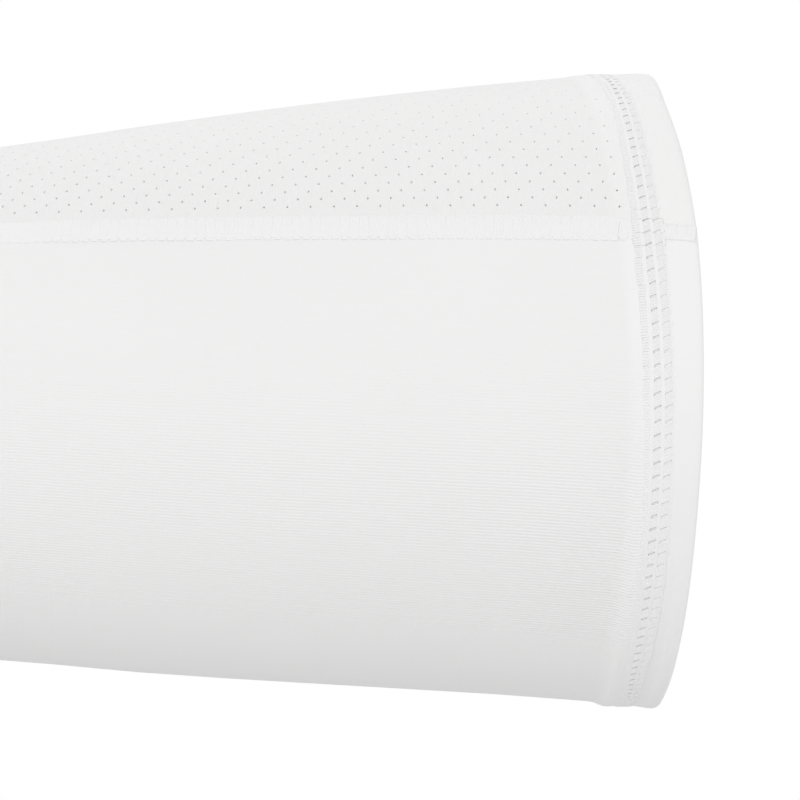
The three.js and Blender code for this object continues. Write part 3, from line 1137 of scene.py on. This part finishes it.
def join_pieces(name, parts):
    """Joins several mesh objects into one, as the solid part of a seam and its threads."""
    joined = bpy.data.meshes.new(name)
    vertices, faces, smooth, start = [], [], [], 0
    for part in parts:
        block = np.empty(len(part.data.vertices) * 3, np.float32)
        part.data.vertices.foreach_get("co", block)
        vertices.append(block.reshape(-1, 3))
        faces.extend([[start + index for index in polygon.vertices] for polygon in part.data.polygons])
        smooth.extend([polygon.use_smooth for polygon in part.data.polygons])
        start += len(part.data.vertices)
    joined.from_pydata(np.vstack(vertices).tolist(), [], faces)
    joined.polygons.foreach_set("use_smooth", smooth)
    joined.materials.append(sewing_thread)
    for part in parts:
        bpy.data.objects.remove(part)
    made = bpy.data.objects.new(name, joined)
    bpy.context.scene.collection.objects.link(made)
    print(name, triangles_of(made), "triangles in all")
    return made


# %% [markdown]
# ## The flatlock seams
# A flatlock seam butts the two cloths and covers the joint with a flat net of threads on both sides. A
# thin domed strip is the mass of thread, and over it lie fine cross threads and a needle row along each
# edge. The row on the knit side is broken at each stitch, because the needle pulls its thread down into
# the cloth.

# %%
SEAM_DOME = 0.09
SEAM_EDGE_LIFT = -0.02
SEAM_PITCH = 1.6
CROSS_THREAD = 0.29
CROSS_STEP = 0.39
SEAM_COLUMNS = 8
SEAM_PLACES, INSIDE_PLACES = 800, 600
INSIDE_DROP = 0.2
# How uneven a seam's stitches lie, in radians of turn and in share of their size
SEAM_UNEVEN = (0.006, 0.02)


def seam_strip(name, side):
    """The domed strip of a seam, from rim to rim on the outside and back on the inside."""
    stations = panel_stations()
    rim_away, rim_lift = rim_arc(RIM_STEPS)
    half = RIM_STEPS // 2
    hem_outer = np.linspace(FOLD_NOSE, STITCH_MIDDLE, 12)[1:-1]
    near_rim = np.concatenate([rim_away[half:], hem_outer])
    near_lift = np.concatenate([rim_lift[half:], relief(hem_outer)])
    outer = np.concatenate([near_rim, stations, SLEEVE_LENGTH - near_rim[::-1]])
    outer_lift = np.concatenate([near_lift, relief(stations), near_lift[::-1]])
    inner_hem = np.array([3.0, STITCH_START, STITCH_END, ALLOWANCE - 0.1, ALLOWANCE + 0.3])
    inner_hem_lift = np.array([-2.1, -2.0, -2.0, -1.95, -1.0])
    between = np.linspace(HEM + 4, SLEEVE_LENGTH - HEM - 4, 60)
    inside_rim = np.concatenate([rim_away[1:half], inner_hem])
    inside_lift = np.concatenate([rim_lift[1:half], inner_hem_lift])
    inner = np.concatenate([inside_rim, between, SLEEVE_LENGTH - inside_rim[::-1]])[::-1]
    inner_lift = np.concatenate([inside_lift, np.full(len(between), -WALL), inside_lift[::-1]])[::-1]
    path = np.concatenate([outer, inner])
    path_lift = np.concatenate([outer_lift, inner_lift])
    out_sign = np.concatenate([np.ones(len(outer)), -np.ones(len(inner))])
    half_height, _, _, seam = section_at(path)
    across = np.linspace(-1, 1, SEAM_COLUMNS + 1)[:, None]
    angle = side * (seam + across * seam_half_width(path) / half_height)
    dome = SEAM_EDGE_LIFT + SEAM_DOME * (1 - across**4)
    points = cloth_point(path[None, :], angle, path_lift[None, :] + out_sign[None, :] * dome)
    return swept_wall(name, path, points[::side])


def flatlock_unit(side):
    """One stitch length of the net on a seam's face, with the knit's needle row on one side of it."""
    half = SEAM_WIDTH / 2
    tubes = []
    for k in range(4):
        x = (k - 1.5) * CROSS_STEP
        lean = 0.05 + 0.02 * (k % 2)
        ends = ((x - lean, side * (0.3 - half)), (x + lean, side * (half - 0.75)))
        tubes.append(thread_tube(arch(*ends, 0.08, 6, -0.08), CROSS_THREAD, 6, 0.26))
    mesh_row, knit_row = side * (0.35 - half), side * (half - 0.5)
    for row, reach in ((mesh_row, SEAM_PITCH * 0.5), (knit_row, SEAM_PITCH * 0.34)):
        tubes.append(thread_tube(arch((-reach, row), (reach, row), 0.04, 5, -0.13), 0.32, 8, 0.3))
    return unit_object("flatlock unit", tubes)


def inside_unit():
    """One stitch length of a net's inner face: a single thread that zigzags between the needle rows."""
    half = SEAM_WIDTH / 2 - 0.5
    return unit_object(
        "inside unit",
        [
            thread_tube(arch((-SEAM_PITCH / 2, -half), (0, half), 0.16), 0.16, 5),
            thread_tube(arch((0, half), (SEAM_PITCH / 2, -half), 0.16), 0.16, 5),
        ],
    )


inside_net = inside_unit()
for node, side, seed in (("front_seam", 1, 11), ("back_seam", -1, 12)):
    flatlock = flatlock_unit(side)
    strip = seam_strip(node + "_strip", side)
    path = np.linspace(FOLD_NOSE, SLEEVE_LENGTH - FOLD_NOSE, SEAM_PLACES)
    _, _, _, seam = section_at(path)
    share = seam_half_width(path) / (SEAM_WIDTH / 2)
    count = int(round(SLEEVE_LENGTH / SEAM_PITCH))
    top = SEAM_EDGE_LIFT + SEAM_DOME * 0.75
    place = (path, side * seam, relief(path) + top)
    outside = stitch_run(node + "_net", place, share, False, flatlock, count, seed, *SEAM_UNEVEN)
    inside_path = np.linspace(HEM + 1, SLEEVE_LENGTH - HEM - 1, INSIDE_PLACES)
    _, _, _, seam = section_at(inside_path)
    inner_count = int(round((SLEEVE_LENGTH - 2 * HEM) / SEAM_PITCH))
    place = (inside_path, side * seam, np.full(INSIDE_PLACES, -WALL - top - INSIDE_DROP))
    inside = stitch_run(node + "_inner_net", place, 1.0, False, inside_net, inner_count, seed)
    flatlock_seam = join_pieces("flatlock_" + node.split("_")[0], [strip, outside, inside])
    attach(flatlock_seam, "root")
    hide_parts(node)
    bpy.data.objects.remove(flatlock)
bpy.data.objects.remove(inside_net)

# %% [markdown]
# ## The coverstitches
# Three needles sew each hem down at once. On the outside their rows are joined by short bundles of
# covering thread, which lie at a slant and leave a dark gap at every stitch. On the inside one thread
# zigzags from row to row. As in the photo, the band is narrower at the bottom and the top and flatter in
# its upper half, and a table gives both by height.

# %%
COVER_PITCH = 2.35
NEEDLE_ROWS = (-1.35, 0.4, 2.1)
NEEDLE_WIDTHS = (0.42, 0.38, 0.32)
NEEDLE_RISES = (0.0, 0.02, -0.02)
BAND_EDGE = -2.45
BUNDLE = 5
RUNG_THREAD = 0.25
RUNG_SLANT = 0.36
RUNG_STEP = 0.385
RING_PLACES = 720
# Lift of the threads outside and inside, and how much higher they lie where the band crosses a seam
BAND_LIFT, LOOPER_LIFT = 0.06, -2 * WALL - 0.25
BAND_OVER_SEAM = SEAM_EDGE_LIFT + SEAM_DOME + 0.04


def coverstitch_unit():
    """One stitch length: needle threads, the covering loops beyond them, and the slanting bundles."""
    tubes = []
    reach = COVER_PITCH * 0.52
    for y, width, rise in zip(NEEDLE_ROWS, NEEDLE_WIDTHS, NEEDLE_RISES):
        tubes.append(thread_tube(arch((-reach, y), (reach, y), rise), width, 8, 0.28))
    for k in range(BUNDLE):
        x = (k - 2) * COVER_PITCH / BUNDLE
        emerging = [
            (x + 0.14, BAND_EDGE - 0.35, -0.42),
            (x + 0.1, BAND_EDGE, -0.2),
            (x + 0.05, BAND_EDGE + 0.5, -0.03),
            (x, NEEDLE_ROWS[0], 0.0),
        ]
        tubes.append(thread_tube(emerging, 0.33, 5, 0.26))
    for low, high in zip(NEEDLE_ROWS[:-1], NEEDLE_ROWS[1:]):
        for k in range(BUNDLE):
            x = (k - 2) * RUNG_STEP
            ends = ((x + RUNG_SLANT, low + 0.05), (x - RUNG_SLANT, high - 0.05))
            tubes.append(thread_tube(arch(*ends, 0.03, 4), RUNG_THREAD, 5, 0.36))
    return unit_object("coverstitch unit", tubes)


def looper_unit():
    """The inner face: a thread that crosses all three rows and comes back."""
    low, high = NEEDLE_ROWS[0], NEEDLE_ROWS[-1]
    return unit_object(
        "looper unit",
        [
            thread_tube(arch((-COVER_PITCH / 2, low), (0, high), 0.15), 0.17, 5),
            thread_tube(arch((0, high), (COVER_PITCH / 2, low), 0.15), 0.17, 5),
        ],
    )


cover = coverstitch_unit()
looper = looper_unit()


def over_seams(station, angle):
    """Extra lift where a ring of stitches climbs over the two seams."""
    half_height, _, _, seam = section_at(station)
    wrapped = np.abs((angle + math.pi) % (2 * math.pi) - math.pi)
    away = np.abs(wrapped - seam) * half_height
    half = seam_half_width(station)
    return BAND_OVER_SEAM * (1 - smoothstep(away, half * 0.6, half * 1.6))


BAND_WIDTHS = table(
    "along width loft",
    [
        (0.00, 0.60, 0.80),
        (0.02, 0.62, 0.85),
        (0.06, 0.80, 0.90),
        (0.13, 0.95, 0.90),
        (0.30, 1.03, 0.75),
        (0.45, 1.05, 0.50),
        (0.60, 1.06, 0.40),
        (0.80, 0.97, 0.40),
        (0.92, 0.82, 0.40),
        (1.00, 0.78, 0.40),
    ],
)


for end_name, station, seed in (("upper", STITCH_MIDDLE, 21), ("wrist", SLEEVE_LENGTH - STITCH_MIDDLE, 22)):
    node = end_name + "_coverstitch"
    ring = np.linspace(0, 2 * math.pi, RING_PLACES, endpoint=False)
    half_height = float(section_at(station)[0])
    count = int(round(2 * math.pi * half_height / COVER_PITCH))
    stations = np.full(RING_PLACES, float(station))
    base = float(relief(station)) + BAND_LIFT
    height_share = (1 + np.cos(ring)) / 2
    width = read_column(BAND_WIDTHS, "width", height_share)
    loft = read_column(BAND_WIDTHS, "loft", height_share)
    place = (stations, ring, base + over_seams(stations, ring))
    outside = stitch_run(node + "_face", place, width, True, cover, count, seed, loft=loft)
    place = (stations, ring, np.full(RING_PLACES, LOOPER_LIFT))
    inside = stitch_run(node + "_inside", place, 1.0, True, looper, count, seed)
    band = join_pieces(end_name + "_cover_band", [outside, inside])
    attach(band, "root")
    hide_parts(node)
for unit in (cover, looper):
    bpy.data.objects.remove(unit)

# %% [markdown]
# ## The flat cuts
# Both panels were cut flat and are stretched over the arm, and the folds at their ends are parts of them.
# The flat sizes are smaller than the worn ones, by the stretch that such a knit is sewn for. The area of
# each flat cut is worked out here.

# %%
KNIT_STRETCH = 1.12
MESH_STRETCH = 1.12
# The cut is a little wider than the panel is at the hem's inner edge, where it was measured
cut_length = SLEEVE_LENGTH + 2 * ALLOWANCE


def flat_area(is_knit, stretch):
    """Area of a panel's flat cut in square metres."""
    stations = np.linspace(0, SLEEVE_LENGTH, 101)
    widths = np.array([arc_width(station, is_knit) for station in stations])
    return float(np.mean(widths)) * cut_length * MM * MM / stretch


flat_area(True, KNIT_STRETCH)
flat_area(False, MESH_STRETCH)

# %% [markdown]
# ## Studio
# The photo is a packshot in even white light on pure white. Here a white world gives most of the light,
# and four soft lights shade it: one in front, one low at the left, one above and behind, and a weak one at
# the right. The floor lies well below the sleeve and brightens to the same white, so it has no horizon.

# %%
bpy.context.scene.view_settings.view_transform = "Standard"
AMBIENT = 0.796
FLOOR_DROP, FLOOR_RADIUS, FLOOR_SIDES = 0.32, 1.15, 96
# The floor turns white between these distances from its middle
FLOOR_FADE = (0.25, 0.9)


def studio_world():
    """White behind the sleeve for the camera, and a softer white for everything else."""
    world = bpy.data.worlds.new("studio")
    world.use_nodes = True
    tree = world.node_tree
    background = tree.nodes["Background"]
    path = add_node(tree, "ShaderNodeLightPath")
    seen = path.outputs["Is Camera Ray"]
    level = add_node(tree, "ShaderNodeMapRange", Value=seen, To_Min=AMBIENT, To_Max=1.0)
    tree.links.new(level.outputs[0], background.inputs["Strength"])
    background.inputs["Color"].default_value = (1, 1, 1, 1)
    bpy.context.scene.world = world


def soft_light(name, place, power, size, target=(-0.12, 0, 0)):
    """A large square light that faces the sleeve."""
    data = bpy.data.lights.new(name, "AREA")
    data.shape, data.size, data.energy = "SQUARE", size, power
    light = bpy.data.objects.new(name, data)
    bpy.context.scene.collection.objects.link(light)
    light.location = place
    aim = [target[axis] - place[axis] for axis in range(3)]
    flat = math.hypot(aim[0], aim[1])
    light.rotation_euler = (math.atan2(flat, -aim[2]), 0, math.atan2(-aim[0], aim[1]))
    return light


def floor_material():
    """Pale floor whose edge glows as white as the background."""
    made = bpy.data.materials.new("studio floor")
    made.use_nodes = True
    tree = made.node_tree
    shader = tree.nodes["Principled BSDF"]
    shader.inputs["Base Color"].default_value = (0.72, 0.72, 0.72, 1)
    shader.inputs["Roughness"].default_value = 0.9
    glow = add_node(tree, "ShaderNodeEmission", Color=(1, 1, 1, 1), Strength=1.0)
    place = add_node(tree, "ShaderNodeTexCoord")
    distance = add_node(tree, "ShaderNodeVectorMath", {"operation": "LENGTH"}, n0=place.outputs["Object"])
    smooth = {"interpolation_type": "SMOOTHSTEP"}
    fade = add_node(tree, "ShaderNodeMapRange", smooth, Value=distance.outputs["Value"])
    fade.inputs["From Min"].default_value, fade.inputs["From Max"].default_value = FLOOR_FADE
    path = add_node(tree, "ShaderNodeLightPath")
    seen = maths(tree, "MULTIPLY", fade, path.outputs["Is Camera Ray"])
    mix = add_node(tree, "ShaderNodeMixShader", n0=seen, n1=shader, n2=glow)
    tree.links.new(mix.outputs[0], tree.nodes["Material Output"].inputs["Surface"])
    return made


studio_world()
floor_mesh = bpy.data.meshes.new("floor")
turn = np.arange(FLOOR_SIDES) * 2 * math.pi / FLOOR_SIDES
edge = [(FLOOR_RADIUS * math.cos(t), FLOOR_RADIUS * math.sin(t), 0) for t in turn]
floor_mesh.from_pydata(edge, [], [list(range(FLOOR_SIDES))])
floor = bpy.data.objects.new("floor", floor_mesh)
floor.location = (-0.2, 0, -FLOOR_DROP)
floor.data.materials.append(floor_material())
bpy.context.scene.collection.objects.link(floor)
key = soft_light("key", (-0.55, -1.5, 0.24), 5.8, 1.2)
low = soft_light("low", (-1.15, -1.2, -0.8), 8.6, 1.0)
top = soft_light("top", (-0.4, 1.0, 1.25), 5.8, 1.2)
side = soft_light("side", (1.4, -0.5, 0.3), 2.3, 1.0, (0, 0, 0))

# %% [markdown]
# ## Camera
# A long lens that looks almost square at the near side, at the height of the sleeve's middle. The photo's
# left edge cuts the sleeve off above the elbow.

# %%
CAMERA_DISTANCE = 0.6
CAMERA_YAW = 6.35
CAMERA_SHIFT_LEFT = 0.04409
CAMERA_LOWER = 0.001636
yaw = math.radians(CAMERA_YAW)
look = np.array([math.sin(yaw), math.cos(yaw), 0])
right = np.array([math.cos(yaw), -math.sin(yaw), 0])
camera_data = bpy.data.cameras.new("camera")
camera_data.sensor_width, camera_data.lens = 36, 148.5
camera_data.clip_start, camera_data.clip_end = 0.05, 20
camera = bpy.data.objects.new("camera", camera_data)
camera.location = -CAMERA_DISTANCE * look - CAMERA_SHIFT_LEFT * right - CAMERA_LOWER * np.array([0, 0, 1])
camera.rotation_euler = (math.pi / 2, 0, -yaw)
bpy.context.scene.collection.objects.link(camera)
bpy.context.scene.camera = camera
